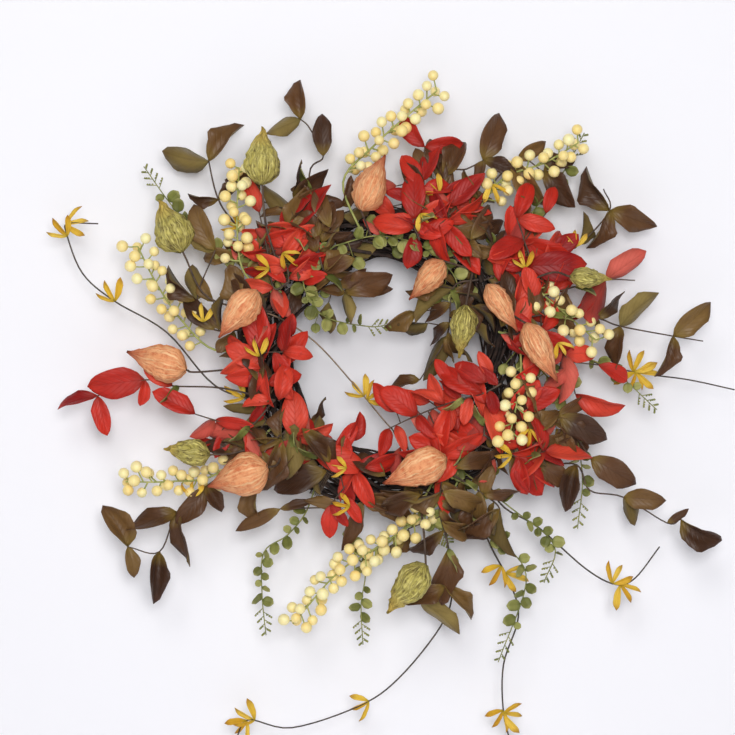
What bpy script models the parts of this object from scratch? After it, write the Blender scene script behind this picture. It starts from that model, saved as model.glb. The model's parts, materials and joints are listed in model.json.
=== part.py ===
"""Harvest door wreath: picks of foliage, berries, lantern pods, greenery and blossom vines on a twisted vine ring.

Metres, +Z up. The wreath hangs in the XZ plane with its front towards -Y and the door behind it at +Y.
The origin is where the hook bears: the top of the ring's inner edge, halfway through its thickness.
"""

import math
import random

import bmesh
import bpy
from mathutils import Matrix, Vector
from mathutils.bvhtree import BVHTree

MM = 0.001

# The ring: strands of vine twisted round one another, bound with wire.
RING_OUTER_DIAMETER = 0.310
BUNDLE_DIAMETER = 0.062
STRAND_COUNT = 4
STRAND_GAP = 0.0045
STRAND_TWISTS = 2
STRAND_STATIONS = 36
STRAND_SIDES = 5
BINDING_ANGLES = (62, 242)
BINDING_WIDTH = 0.011
BINDING_THICKNESS = 0.002
BINDING_SIDES = 12
BINDING_GAP = 0.0010

# The picks: what each kind of stem, leaf, berry and pod measures.
CLEARANCE = 0.0004
NUDGE = 0.00004
MOST_ATTEMPTS = 9
MOST_SCRAP_FACES = 6  # a union can leave scraps this small; the least leaf, petal or berry has more faces
STEM_SIDES = 4
PICK_STEM_DIAMETER = 0.0024
GREEN_STEM_DIAMETER = 0.0018
VINE_DIAMETER = 0.0020
LEAF_THICKNESS = 0.0015
LEAF_WIDTH_SHARE = {"red": 0.50, "brown": 0.42}
LEAF_ROLL = 22
BERRY_DIAMETER = 0.0125
BERRY_STALK = 0.0115
BERRY_STALK_DIAMETER = 0.0016
BERRY_SPACING = 0.0112
BERRY_SIDES = 5
BERRY_TURN = 137.5
POD_SIDES = 6
POD_WIDTH_SHARE = 0.62
POD_PROFILE = ((-0.05, 0.30), (0.12, 0.84), (0.34, 1.0), (0.60, 0.80), (0.84, 0.34), (1.0, 0.06))
GREEN_LEAF_LENGTH = 0.012
GREEN_LEAF_SPACING = 0.026
BLOSSOM_LENGTH = 0.026
BLOSSOM_PETALS = (-26, 0, 26)
BLOSSOM_PETAL_GAP = 0.0015
BLOSSOM_PETAL_WIDTH = 0.009

# Each node's material: linear colour and roughness.
MATERIALS = {
    "vine_bark": ((0.045, 0.028, 0.020), 0.85),
    "binding_wire": ((0.080, 0.060, 0.045), 0.60),
    "red_leaf": ((0.520, 0.035, 0.025), 0.55),
    "brown_leaf": ((0.105, 0.050, 0.020), 0.65),
    "cream_berry": ((0.900, 0.700, 0.300), 0.40),
    "gold_pod": ((0.350, 0.270, 0.050), 0.60),
    "peach_pod": ((0.800, 0.290, 0.150), 0.60),
    "green_leaf": ((0.160, 0.210, 0.055), 0.60),
    "yellow_blossom": ((0.700, 0.430, 0.040), 0.60),
}

# How the foliage lies: over the ring like a dome, each pick laid on those before it.
DOME_WIDTH = 0.085
DROP_FROM = 0.130
DROP_STEP = 0.0007
TAIL_STEP = 0.001
SWING = 8
SWING_STEP = 2

RING_RADIUS = (RING_OUTER_DIAMETER - BUNDLE_DIAMETER) / 2
RING_CENTRE = Vector((0, 0, BUNDLE_DIAMETER / 2 - RING_RADIUS))

# The layout below is drawn in millimetres from the ring's centre, X right and Z up, round a ring of this radius.
DRAWN_RING_RADIUS = 124

# A foliage pick is its branches, and a branch is its stem's points from the ring outwards.
# A point is (x, z) and the leaves that grow there, each (heading in degrees, length).
RED_PICKS = {
    "red_pick_left": (
        ((-112, -42), (-165, -30), (-215, -28, (150, 34)), (-243, -22, (187, 58), (-100, 27)),
         (-291, -38, (195, 44), (-75, 41))),
        ((-112, -42), (-140, -70, (185, 44), (-62, 32)), (-172, -62, (-8, 40), (215, 30)),
         (-192, -56, (155, 48))),
    ),
    "red_pick_left_inner": (
        ((-118, -30), (-122, -10, (153, 44), (-80, 40)), (-126, 4, (205, 44), (98, 57)),
         (-104, 6, (-8, 31), (72, 40))),
    ),
    "red_pick_upper_left": (
        ((-98, 76), (-99, 88, (156, 36), (20, 42)), (-104, 104, (139, 38), (27, 29)),
         (-92, 130, (48, 56), (176, 30))),
        ((-98, 76), (-113, 70, (170, 32), (-62, 34)), (-120, 110), (-128, 146, (117, 38))),
    ),
    "red_pick_top": (
        ((32, 118), (27, 138, (90, 50), (-30, 34)), (58, 134, (35, 50), (-49, 42)),
         (62, 152, (42, 48), (150, 34))),
        ((32, 118), (34, 176, (60, 40)), (38, 212, (128, 40), (6, 40))),
    ),
    "red_pick_upper_right": (
        ((100, 70), (140, 92, (2, 60), (165, 32)), (137, 118, (-24, 55), (211, 42)),
         (130, 140, (69, 40), (-16, 40))),
    ),
    "red_pick_right_tip": (
        ((118, 44), (170, 66), (219, 78, (33, 50), (247, 48), (176, 40)), (249, 78)),
    ),
    "red_pick_right": (
        ((116, 22), (154, 26, (63, 38), (-40, 42), (186, 42)), (177, 4, (-93, 50), (4, 32)),
         (188, -36, (-15, 52))),
    ),
    "red_pick_right_low": (
        ((96, -76), (98, -46, (239, 54), (-73, 52), (112, 32))),
        ((96, -76), (128, -98, (-55, 46)), (157, -93, (112, 38), (227, 42), (-10, 48))),
        ((96, -76), (72, -92, (152, 34)), (52, -98, (79, 50), (28, 48), (172, 42))),
    ),
    "red_pick_inner_right": (
        ((112, -26), (95, -35, (150, 50)), (58, -46, (157, 36)), (30, -57, (144, 46), (-50, 30)),
         (2, -70, (250, 30))),
    ),
    "red_pick_bottom_left": (
        ((-56, -110), (-74, -92, (-20, 56), (175, 36)), (-91, -80, (93, 48), (20, 40))),
        ((-56, -110), (-32, -112, (12, 42), (-63, 42)), (-56, -146, (-92, 34), (-52, 28))),
    ),
}

BROWN_PICKS = {
    "brown_pick_top_left": (
        ((-100, 78), (-150, 132), (-170, 160, (172, 32), (30, 28)), (-180, 199, (172, 48), (49, 52)), (-181, 217)),
    ),
    "brown_pick_top": (
        ((-68, 104), (-78, 184), (-64, 203, (92, 44)), (-78, 232), (-87, 241, (92, 42), (203, 38))),
        ((-68, 104), (-98, 128, (66, 48), (168, 36)), (-94, 160, (78, 40), (40, 46))),
        ((-68, 104), (-62, 86, (40, 34)), (-42, 65, (21, 51), (172, 26), (-80, 32))),
    ),
    "brown_pick_left": (
        ((-120, 32), (-172, 28, (134, 46)), (-190, 58, (135, 46), (98, 36)), (-172, 108, (117, 52), (150, 38))),
    ),
    "brown_pick_top_right": (
        ((44, 115), (57, 182, (110, 42), (58, 44)), (80, 190), (97, 199, (71, 52), (-24, 38), (-100, 30))),
        ((44, 115), (92, 160, (118, 34)), (132, 200, (33, 34), (-65, 52)), (158, 188, (-49, 48), (27, 38))),
    ),
    "brown_pick_upper_right": (
        ((98, 78), (165, 104), (193, 114, (75, 33), (172, 28)), (225, 149, (121, 51), (-18, 51), (242, 44)),
         (219, 171)),
    ),
    "brown_pick_right": (
        ((118, 36), (165, 44, (60, 34), (-40, 34)), (210, 40, (43, 40), (-62, 24)), (234, 32, (42, 51), (-96, 46)),
         (288, 22, (42, 51), (-112, 44)), (318, 17)),
    ),
    "brown_pick_low_right": (
        ((108, -58), (150, -72, (40, 30)), (172, -58, (-26, 54), (-52, 46)), (204, -100, (-30, 54))),
    ),
    "brown_pick_far_low_right": (
        ((90, -86), (150, -106, (-31, 40)), (190, -107, (-106, 48)), (204, -133),
         (238, -140, (-4, 42), (-64, 30)), (282, -166, (34, 26)), (296, -162, (-34, 48))),
    ),
    "brown_pick_bottom_right": (
        ((56, -110), (95, -135, (4, 38), (72, 30)), (112, -150, (209, 52), (-75, 50)), (106, -166, (200, 38))),
        ((56, -110), (52, -150, (-40, 34)), (61, -190, (-96, 58)), (58, -228, (203, 46), (-50, 46)),
         (33, -243, (-39, 52))),
    ),
    "brown_pick_bottom_left": (
        ((-26, -124), (-46, -121), (-79, -101, (76, 44), (-70, 38)), (-105, -81, (-113, 60), (-35, 44), (83, 36)),
         (-128, -53, (84, 50), (172, 36))),
        ((-26, -124), (-24, -142, (-113, 56), (-8, 40)), (-44, -148, (172, 40)), (-107, -151, (207, 51), (12, 36))),
    ),
    "brown_pick_far_low_left": (
        ((-102, -74), (-180, -128, (231, 50), (-63, 30)), (-211, -155, (199, 54), (-76, 56)),
         (-229, -195, (-96, 52)), (-261, -190, (116, 48), (-77, 32))),
    ),
    "brown_pick_inner_right": (
        ((90, 78), (66, 70, (220, 50)), (60, 22, (243, 50), (-75, 28)), (33, -22, (195, 36))),
    ),
}

# A berry pick's branches are stems that the berries turn round.
BERRY_PICKS = {
    "berry_pick_left": (((-122, 12), (-172, 8), (-206, 38), (-232, 76), (-250, 112)),),
    "berry_pick_upper_left": (((-108, 62), (-142, 84), (-150, 130), (-148, 190)),),
    "berry_pick_top": (((-24, 122), (-44, 176), (-14, 212), (12, 236), (50, 268)),),
    "berry_pick_top_right": (((66, 106), (112, 176), (158, 196), (192, 216)),),
    "berry_pick_right_upper": (((112, 58), (136, 76), (168, 52), (208, 18)),),
    "berry_pick_right": (((112, 26), (130, 18), (132, -24), (120, -82)),),
    "berry_pick_bottom": (
        ((52, -114), (70, -124), (38, -156), (-22, -196)),
        ((52, -114), (12, -176), (-46, -212), (-94, -266)),
    ),
    "berry_pick_low_left": (((-108, -64), (-170, -116), (-220, -124), (-262, -124)),),
}

# A pod pick's branches are stems, each with its pod from the stem's end to the last point, and a length to match.
POD_PICKS = {
    "gold_pod_pick_top_left": (((-102, 72), (-120, 130), (-124, 172), (-124, 230)),),
    "gold_pod_pick_left": (((-116, 46), (-178, 60), (-204, 106), (-228, 158)),),
    "peach_pod_pick_top": (((-16, 122), (-26, 146), (-2, 202)),),
    "peach_pod_pick_left": (((-118, 38), (-128, 66), (-166, 20)),),
    "peach_pod_pick_far_left": (((-122, -8), (-188, -14), (-200, -12), (-260, 6)),),
    "pod_pick_low_left": (
        ((-100, -78), (-150, -94), (-176, -96), (-222, -90)),
        ((-100, -78), (-108, -104), (-118, -108), (-178, -128)),
    ),
    "peach_pod_pick_bottom": (((50, -112), (58, -98), (-4, -124)),),
    "gold_pod_pick_bottom": (((30, -120), (36, -170), (38, -204), (0, -252)),),
    "pod_pick_inner_right": (
        ((86, 88), (78, 52), (72, 0)),
        ((86, 88), (56, 96), (22, 58)),
    ),
    "peach_pod_pick_right": (
        ((110, 52), (98, 72), (128, 26)),
        ((110, 52), (136, 34), (168, -24)),
    ),
    "green_pod_pick_right": (((112, 62), (160, 84), (180, 80), (222, 78)),),
}
POD_WIDTH_CHANGES = {"peach_pod_pick_right": 0.86, "green_pod_pick_right": 0.90}

# Greenery: wiry stems with small round leaves in pairs.
GREEN_PICKS = {
    "green_pick_inner_top": (
        ((-52, 112), (-10, 122), (34, 112), (66, 84), (74, 52)),
        ((-52, 112), (-84, 84), (-66, 44), (-20, 32), (4, 34)),
    ),
    "green_pick_top_left": (((-106, 66), (-168, 108), (-212, 148), (-246, 194)),),
    "green_pick_upper_right": (((104, 72), (142, 140), (176, 184), (200, 228)),),
    "green_pick_right": (
        ((122, 20), (180, 6), (226, -12), (272, -52)),
        ((122, 20), (176, -40), (196, -112), (192, -172)),
    ),
    "green_pick_bottom_right": (
        ((66, -106), (92, -160), (122, -190), (140, -226), (112, -306)),
        ((66, -106), (124, -150), (168, -188), (158, -226)),
        ((66, -106), (42, -148), (62, -186)),
    ),
}
HANGING_GREEN_PICKS = {
    "green_sprig_hanging_left": (((-66, -108), (-80, -152), (-100, -178), (-124, -196), (-126, -238), (-122, -280)),),
    "green_sprig_hanging_bottom": (((-34, -120), (-36, -186), (-22, -214), (-26, -250), (-24, -290)),),
}

# Blossom vines, which are bent to shape: a wire and its blossoms, each (where along the wire from 0 to 1, heading in degrees).
BLOSSOM_VINES = {
    "vine_left": (
        ((-118, -46), (-172, -28), (-222, 26), (-276, 58), (-308, 86), (-324, 126), (-322, 136), (-292, 136)),
        ((0.08, 150), (0.60, 118), (0.86, 130), (0.90, 10)),
    ),
    "vine_bottom_left": (
        ((44, -118), (60, -180), (66, -236), (54, -272), (12, -324), (-28, -352), (-96, -374), (-140, -366), (-152, -384)),
        ((0.64, 205), (0.93, 150), (0.95, 228)),
    ),
    "vine_bottom": (
        ((68, -106), (104, -188), (124, -226), (133, -262), (118, -310), (118, -358), (126, -392)),
        ((0.38, 240), (0.41, -20), (0.88, 238), (0.89, -10)),
    ),
    "vine_low_right": (
        ((88, -88), (112, -144), (152, -170), (200, -212), (230, -228), (250, -222), (275, -190)),
        ((0.76, 60), (0.79, -58)),
    ),
    "vine_right": (
        ((124, 8), (168, 12), (214, -6), (262, -16), (306, -22), (352, -32)),
        ((0.56, 62), (0.58, -6), (0.57, -110)),
    ),
}
INNER_VINES = {
    "vine_inner": (
        ((-116, 16), (-138, 44), (-112, 42), (-72, 16), (-32, -28), (0, -66), (20, -86)),
        ((0.05, 190), (0.74, 128), (0.76, 32)),
    ),
}


def laid_out(x, z):
    """A drawn point's place across the wreath: its distance from the ring's centreline stays as drawn."""
    drawn = Vector((x, 0, z))
    distance = drawn.length * MM + RING_RADIUS - DRAWN_RING_RADIUS * MM
    return RING_CENTRE + drawn.normalized() * distance


def on_dome(place):
    """The same point brought forward onto the dome that the foliage makes over the ring."""
    off_ring = (place - RING_CENTRE).length - RING_RADIUS
    rise = BUNDLE_DIAMETER / 2 * math.exp(-((off_ring / DOME_WIDTH) ** 2))
    return Vector((place.x, -rise, place.z))


def towards(heading):
    return Vector((math.cos(math.radians(heading)), 0, math.sin(math.radians(heading))))


def along(line, share):
    """The point at that share of a line's length, and the line's direction there."""
    spans = [(b - a).length for a, b in zip(line, line[1:])]
    left = share * sum(spans)
    for start, end, span in zip(line, line[1:], spans):
        if left <= span:
            break
        left -= span
    return start.lerp(end, min(left / span, 1)), (end - start).normalized()


def length_of(line):
    return sum((b - a).length for a, b in zip(line, line[1:]))


def ring_of_corners(bm, centre, across, up, corners):
    return [bm.verts.new(centre + across * a + up * u) for a, u in corners]


def skin(bm, rings, closed=False):
    """Faces between the rings in turn, which a closed run joins back to the first, and which an open one caps."""
    pairs = list(zip(rings, rings[1:])) + ([(rings[-1], rings[0])] if closed else [])
    count = len(rings[0])
    for low, high in pairs:
        for i in range(count):
            bm.faces.new((low[i], low[(i + 1) % count], high[(i + 1) % count], high[i]))
    if not closed:
        bm.faces.new(rings[0][::-1])
        bm.faces.new(rings[-1])


def add_tube(bm, line, radii, sides=STEM_SIDES):
    """A round tube along a line, with a radius for each of its points."""
    rings = []
    across = None
    for i, (point, radius) in enumerate(zip(line, radii)):
        ahead = (line[min(i + 1, len(line) - 1)] - line[max(i - 1, 0)]).normalized()
        if across is None:
            across = ahead.orthogonal()
        across = (across - ahead * across.dot(ahead)).normalized()
        up = ahead.cross(across)
        turns = [2 * math.pi * k / sides for k in range(sides)]
        rings.append(ring_of_corners(bm, point, across, up,
                                     [(radius * math.cos(a), radius * math.sin(a)) for a in turns]))
    skin(bm, rings)


def add_blade(bm, base, tip, facing, thickness, stations):
    """A leaf with a raised midrib, from base to tip. A station is (share of the length, width there)."""
    ahead = (tip - base).normalized()
    across = ahead.cross(facing).normalized()
    up = across.cross(ahead)
    rings = []
    for share, width in stations:
        half, thick = width / 2, min(thickness, width)
        corners = [(-half, -thick / 3), (half, -thick / 3), (0, thick * 2 / 3)]
        rings.append(ring_of_corners(bm, base.lerp(tip, share), across, up, corners))
    skin(bm, rings)


def facing_of(heading, roll):
    """The way a leaf's face looks when it points along heading and is rolled about its length."""
    side = towards(heading + 90)
    return Vector((0, -math.cos(math.radians(roll)), 0)) + side * math.sin(math.radians(roll))


def leaf_stations(length, share):
    width = length * share
    return (0, 0.0018), (0.5, width), (1, 0.0010)


def branch_stem(points):
    return [on_dome(laid_out(*point[:2])) for point in points]


def stem_radii(line, diameter):
    """A stem that thins a little towards its tip."""
    return [diameter / 2 * (1 - 0.35 * i / (len(line) - 1)) for i in range(len(line))]


def grow_foliage(bm, branches, name, extra):
    kind = name.split("_")[0]
    dice = random.Random(name)
    for points in branches:
        for point in points:
            base = on_dome(laid_out(*point[:2]))
            for heading, length in point[2:]:
                roll = dice.uniform(-LEAF_ROLL, LEAF_ROLL)
                reach = length * MM
                tip = on_dome(base + towards(heading) * reach)
                stations = [(s, w + extra) for s, w in leaf_stations(reach, LEAF_WIDTH_SHARE[kind])]
                add_blade(bm, base, tip, facing_of(heading, roll), LEAF_THICKNESS + extra, stations)
        line = branch_stem(points)
        add_tube(bm, line, [r + extra / 2 for r in stem_radii(line, PICK_STEM_DIAMETER)])


def berry_places(line):
    """Where the berries of a stem sit: a stalk's length off it, turning round it, on its outer two thirds."""
    length = length_of(line)
    count = round(length * 0.66 / BERRY_SPACING)
    places = []
    for k in range(count):
        foot, ahead = along(line, 1 - 0.66 * k / count)
        side = ahead.cross(Vector((0, 1, 0))).normalized()
        turn = math.radians(BERRY_TURN * k)
        out = side * math.cos(turn) + ahead.cross(side) * math.sin(turn) * 0.6 + ahead * 0.5
        places.append((foot, foot + out.normalized() * BERRY_STALK))
    return places


def grow_berries(bm, branches, name, extra):
    for points in branches:
        line = branch_stem(points)
        for foot, place in berry_places(line):
            berry = (BERRY_DIAMETER + extra) / 2
            ahead = (place - foot).normalized()
            outline = [foot, place - ahead * berry * 0.8, place, place + ahead * berry * 0.9]
            stalk = (BERRY_STALK_DIAMETER + extra) / 2
            add_tube(bm, outline, [stalk, stalk, berry, berry * 0.3], BERRY_SIDES)
        add_tube(bm, line, [r + extra / 2 for r in stem_radii(line, PICK_STEM_DIAMETER)])


def grow_pods(bm, branches, name, extra):
    for points in branches:
        stem = branch_stem(points[:-1])
        (base_x, base_z), (tip_x, tip_z) = points[-2:]
        base = stem[-1]
        tip = on_dome(laid_out(base_x, base_z) + Vector((tip_x - base_x, 0, tip_z - base_z)) * MM)
        width = (tip - base).length * POD_WIDTH_SHARE * POD_WIDTH_CHANGES.get(name, 1)
        pod = [base + (tip - base) * share for share, _ in POD_PROFILE]
        add_tube(bm, pod, [width / 2 * r + extra / 2 for _, r in POD_PROFILE], POD_SIDES)
        add_tube(bm, stem, [(PICK_STEM_DIAMETER + extra) / 2] * len(stem))


def grow_greenery(bm, branches, name, extra):
    for points in branches:
        line = branch_stem(points)
        count = int(length_of(line) * 0.62 / GREEN_LEAF_SPACING)
        for k in range(2 * count):
            foot, ahead = along(line, 0.25 + 0.3 * k / count)
            side = 62 if k % 2 else -62
            heading = math.degrees(math.atan2(ahead.z, ahead.x)) + side
            stations = ((0, 0.0012 + extra), (1, GREEN_LEAF_LENGTH * 0.8 + extra))
            add_blade(bm, foot, foot + towards(heading) * GREEN_LEAF_LENGTH, facing_of(heading, side / 3),
                      LEAF_THICKNESS + extra, stations)
        add_tube(bm, line, [r + extra / 2 for r in stem_radii(line, GREEN_STEM_DIAMETER)])


def grow_vine(bm, vine, name, extra):
    points, blossoms = vine
    line = branch_stem(points)
    for share, heading in blossoms:
        for spread in BLOSSOM_PETALS:
            foot, _ = along(line, share + spread / 26 * BLOSSOM_PETAL_GAP / length_of(line))
            reach = towards(heading + spread) * BLOSSOM_LENGTH
            stations = ((0, 0.002 + extra), (1, BLOSSOM_PETAL_WIDTH + extra))
            lift = Vector((0, -BLOSSOM_LENGTH * (0.25 if spread else -0.05), 0))
            add_blade(bm, foot, foot + reach + lift, facing_of(heading, spread), LEAF_THICKNESS + extra, stations)
    add_tube(bm, line, [VINE_DIAMETER / 2 + extra / 2] * len(line))


def swung(vertices, pivot, angle):
    """The vertices turned about the stem that goes back into the ring at pivot."""
    turn = Matrix.Rotation(math.radians(angle), 3, "Y")
    return [pivot + turn @ (v - pivot) for v in vertices]


def shape_of(bm):
    """The vertices and faces of a bmesh."""
    bm.verts.index_update()
    return [v.co.copy() for v in bm.verts], [[v.index for v in f.verts] for f in bm.faces]


def grown(grow, plan, name, extra):
    bm = bmesh.new()
    grow(bm, plan, name, extra)
    shape = shape_of(bm)
    bm.free()
    return shape


def material_of(name):
    colour, roughness = MATERIALS[name]
    material = bpy.data.materials.get(name)
    if material is None:
        material = bpy.data.materials.new(name)
        material.use_nodes = True
        shader = material.node_tree.nodes["Principled BSDF"]
        shader.inputs["Base Color"].default_value = (*colour, 1)
        shader.inputs["Roughness"].default_value = roughness
        material.diffuse_color = (*colour, 1)
    return material


def add_object(name, vertices, faces, slot, origin=Vector()):
    mesh = bpy.data.meshes.new(name)
    mesh.from_pydata([v - origin for v in vertices], [], faces)
    bm = bmesh.new()
    bm.from_mesh(mesh)
    bmesh.ops.recalc_face_normals(bm, faces=bm.faces)
    bm.to_mesh(mesh)
    bm.free()
    mesh.materials.append(material_of(slot))
    obj = bpy.data.objects.new(name, mesh)
    obj.location = origin
    bpy.context.collection.objects.link(obj)
    return obj


def shells_of(bm):
    """The sets of faces that meet along edges."""
    left = dict.fromkeys(bm.faces)
    shells = []
    while left:
        shell = {}
        border = [next(iter(left))]
        while border:
            shell.update(dict.fromkeys(border))
            edges = [edge for face in border for edge in face.edges if edge.is_manifold]
            beyond = [face for edge in edges for face in edge.link_faces]
            border = [face for face in dict.fromkeys(beyond) if face not in shell]
        left = {face: None for face in left if face not in shell}
        shells.append(shell)
    return shells


def keep_shells(mesh, chosen):
    """Deletes the shells of a mesh that aren't among the chosen ones."""
    bm = bmesh.new()
    bm.from_mesh(mesh)
    kept = {face for shell in chosen(shells_of(bm)) for face in shell}
    bmesh.ops.delete(bm, geom=[face for face in bm.faces if face not in kept], context="FACES")
    bm.to_mesh(mesh)
    bm.free()


def without_scraps(shells):
    """The shells that are real pieces. One that missed its stem stays, so that it shows as a body of its own."""
    return [shell for shell in shells if len(shell) > MOST_SCRAP_FACES]


def is_one_body(mesh):
    """Whether a mesh is a single closed shell that touches itself at no edge or corner."""
    bm = bmesh.new()
    bm.from_mesh(mesh)
    whole = len(shells_of(bm)) == 1 and all(corner.is_manifold for corner in (*bm.edges, *bm.verts))
    bm.free()
    return whole


def join_into_one(obj):
    """Unites the overlapping shells of one object: the last shell is the Boolean's other half."""
    helper = obj.copy()
    helper.data = obj.data.copy()
    bpy.context.collection.objects.link(helper)
    keep_shells(helper.data, lambda shells: shells[-1:])
    keep_shells(obj.data, lambda shells: shells[:-1])
    union = obj.modifiers.new("one body", "BOOLEAN")
    union.operation = "UNION"
    union.solver = "EXACT"
    union.use_self = True
    union.object = helper
    obj.modifiers.new("triangles", "TRIANGULATE")
    obj.data = bpy.data.meshes.new_from_object(obj.evaluated_get(bpy.context.evaluated_depsgraph_get()))
    obj.modifiers.clear()
    keep_shells(obj.data, without_scraps)
    bpy.data.objects.remove(helper)


def add_ring_strand(number):
    """One strand: a closed loop that winds round the middle of the bundle."""
    strand_radius = (math.sqrt(2) * BUNDLE_DIAMETER / 2 - STRAND_GAP) / (2 + math.sqrt(2))
    reach = BUNDLE_DIAMETER / 2 - strand_radius
    bm = bmesh.new()
    rings = []
    for i in range(STRAND_STATIONS):
        turn = 2 * math.pi * i / STRAND_STATIONS
        out = towards(math.degrees(turn))
        wind = STRAND_TWISTS * turn + 2 * math.pi * number / STRAND_COUNT
        centre = RING_CENTRE + out * (RING_RADIUS + reach * math.cos(wind)) + Vector((0, reach * math.sin(wind), 0))
        turns = [wind + 2 * math.pi * k / STRAND_SIDES for k in range(STRAND_SIDES)]
        rings.append(ring_of_corners(bm, centre, out, Vector((0, 1, 0)),
                                     [(strand_radius * math.cos(a), strand_radius * math.sin(a)) for a in turns]))
    skin(bm, rings, closed=True)
    shape = shape_of(bm)
    bm.free()
    return add_object(f"ring_strand_{number + 1}", *shape, "vine_bark")


def add_binding(number, angle):
    """A wrap of wire round the bundle, with a flat side to the door."""
    out = towards(angle)
    along_ring = towards(angle + 90)
    middle = RING_CENTRE + out * RING_RADIUS
    inner = (BUNDLE_DIAMETER / 2 + BINDING_GAP) / math.cos(math.pi / BINDING_SIDES)
    outer = (BUNDLE_DIAMETER / 2 + BINDING_GAP + BINDING_THICKNESS) / math.cos(math.pi / BINDING_SIDES)
    bm = bmesh.new()
    rings = []
    for k in range(BINDING_SIDES):
        turn = 2 * math.pi * (k + 0.5) / BINDING_SIDES
        away = out * math.cos(turn) + Vector((0, 1, 0)) * math.sin(turn)
        half = BINDING_WIDTH / 2
        corners = [(inner, -half), (inner, half), (outer, half), (outer, -half)]
        rings.append(ring_of_corners(bm, middle, away, along_ring, corners))
    skin(bm, rings, closed=True)
    shape = shape_of(bm)
    bm.free()
    return add_object(f"ring_binding_{number}", *shape, "binding_wire")


def walled(shape):
    """A shape as a wall that a pick is tested against: its tree and its box."""
    vertices, faces = shape
    low = Vector([min(v[i] for v in vertices) for i in range(3)])
    high = Vector([max(v[i] for v in vertices) for i in range(3)])
    return BVHTree.FromPolygons(vertices, faces), low, high


def touches(walls, vertices, faces):
    tree, low, high = walled((vertices, faces))
    for wall, wall_low, wall_high in walls:
        if all(low[i] <= wall_high[i] and wall_low[i] <= high[i] for i in range(3)) and tree.overlap(wall):
            return True
    return False


def lay_down(walls, shape, pivot, angles):
    """How far off the dome a shape comes to rest when it is brought back onto what is already there."""
    vertices, faces = shape
    copies = [swung(vertices, pivot, angle) for angle in angles]
    rise = DROP_FROM
    while rise > DROP_STEP:
        lift = Vector((0, DROP_STEP - rise, 0))
        if any(touches(walls, [v + lift for v in copy], faces) for copy in copies):
            break
        rise -= DROP_STEP
    return Vector((0, -rise, 0))


def tail_of(walls, start):
    """The end of a stem that runs from start back to the ring's middle, or until it meets something."""
    length = 0
    while start.y + length < 0:
        bm = bmesh.new()
        ends = [start + Vector((0, length, 0)), start + Vector((0, length + TAIL_STEP, 0))]
        add_tube(bm, ends, [PICK_STEM_DIAMETER / 2 + CLEARANCE] * 2)
        shape = shape_of(bm)
        bm.free()
        if touches(walls, *shape):
            break
        length += TAIL_STEP
    return start + Vector((0, length, 0))


def place_pick(walls, name, plan, grow, slot, moves=False):
    """Lays a pick on those already placed and adds it as one body. One that moves keeps its whole swing clear."""
    start = on_dome(laid_out(*plan[0][0][:2]))
    angles = range(-SWING, SWING + 1, SWING_STEP) if moves else (0,)
    lift = lay_down(walls, grown(grow, plan, name, 2 * CLEARANCE), start, angles)
    tail = tail_of(walls, start + lift)

    for attempt in range(MOST_ATTEMPTS):
        bm = bmesh.new()
        grow(bm, plan, name, attempt * NUDGE)
        bmesh.ops.translate(bm, verts=bm.verts, vec=lift)
        add_tube(bm, [start + lift - Vector((0, TAIL_STEP, 0)), tail], [PICK_STEM_DIAMETER / 2] * 2)
        vertices, faces = shape_of(bm)
        bm.free()
        obj = add_object(name, vertices, faces, slot, start + lift if moves else Vector())
        join_into_one(obj)
        if is_one_body(obj.data) or attempt == MOST_ATTEMPTS - 1:
            break
        bpy.data.objects.remove(obj)
    for angle in angles:
        walls.append(walled((swung(vertices, start, angle), faces)))


def build():
    for obj in list(bpy.data.objects):
        bpy.data.objects.remove(obj)

    ring = [add_ring_strand(number) for number in range(STRAND_COUNT)]
    ring += [add_binding(number + 1, angle) for number, angle in enumerate(BINDING_ANGLES)]
    walls = []
    for obj in ring:
        mesh = obj.data
        walls.append(walled(([v.co.copy() for v in mesh.vertices], [list(f.vertices) for f in mesh.polygons])))

    for name, plan in BLOSSOM_VINES.items():
        place_pick(walls, name, plan, grow_vine, "yellow_blossom", moves=True)
    for name, plan in HANGING_GREEN_PICKS.items():
        place_pick(walls, name, plan, grow_greenery, "green_leaf", moves=True)
    for picks, grow, slot in (
        (INNER_VINES, grow_vine, "yellow_blossom"),
        (GREEN_PICKS, grow_greenery, "green_leaf"),
        (BROWN_PICKS, grow_foliage, "brown_leaf"),
        (RED_PICKS, grow_foliage, "red_leaf"),
        (BERRY_PICKS, grow_berries, "cream_berry"),
    ):
        for name, plan in picks.items():
            place_pick(walls, name, plan, grow, slot)
    for name, plan in POD_PICKS.items():
        place_pick(walls, name, plan, grow_pods, "peach_pod" if name.startswith("peach") else "gold_pod")


build()
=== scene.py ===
"""Harvest door wreath: leaf, berry, pod, greenery and blossom picks in a ring of twisted vine, on a pale wall."""

import json
import math
import random

import bmesh
import bpy
from mathutils import Matrix, Vector
from mathutils.kdtree import KDTree

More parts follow.
